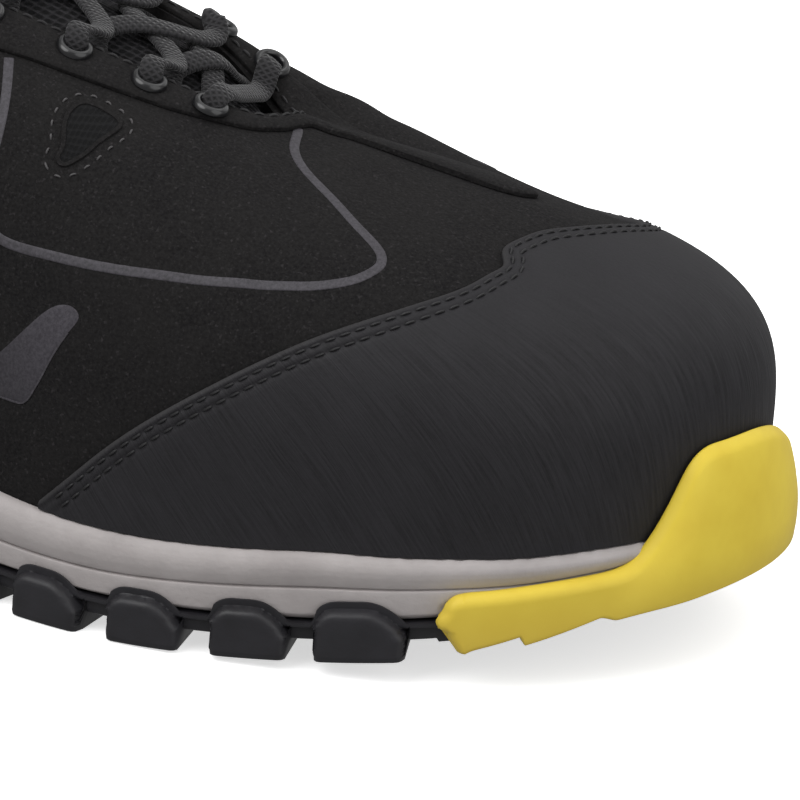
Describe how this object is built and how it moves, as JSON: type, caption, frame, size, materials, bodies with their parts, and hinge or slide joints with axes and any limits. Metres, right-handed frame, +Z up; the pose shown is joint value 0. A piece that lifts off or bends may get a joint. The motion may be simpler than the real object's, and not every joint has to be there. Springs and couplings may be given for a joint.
{
  "type": "safety sneaker",
  "caption": "Right low-cut safety sneaker with a lugged outsole, foam midsole, toe bumper, coated toe cap and laced throat.",
  "frame": {"origin": "middle of the shoe's footprint on the floor", "axes": "+X towards the toe, +Y towards the inner side of the foot, +Z up"},
  "size_m": [0.3064, 0.1181, 0.1344],
  "materials": {
    "rubber": "matte",
    "foam": "matte",
    "guard": "satin",
    "suede": "napped",
    "coating": "satin",
    "textile": "woven"
  },
  "bodies": {
    "root": {"outsole": "rubber", "midsole": "foam", "toe_bumper": "guard", "upper": "suede", "toe_cap": "coating", "eyestay": "suede", "heel_counter": "coating", "collar": "textile", "tongue": "textile", "insole": "textile", "lace_bar": "textile", "lace_cross_1": "textile", "lace_cross_2": "textile", "lace_cross_3": "textile", "lace_cross_4": "textile", "eyelet_outer_1": "rubber", "eyelet_outer_2": "rubber", "eyelet_outer_3": "rubber", "eyelet_outer_4": "rubber", "eyelet_outer_5": "rubber", "eyelet_inner_1": "rubber", "eyelet_inner_2": "rubber", "eyelet_inner_3": "rubber", "eyelet_inner_4": "rubber", "eyelet_inner_5": "rubber"}
  },
  "joints": []
}
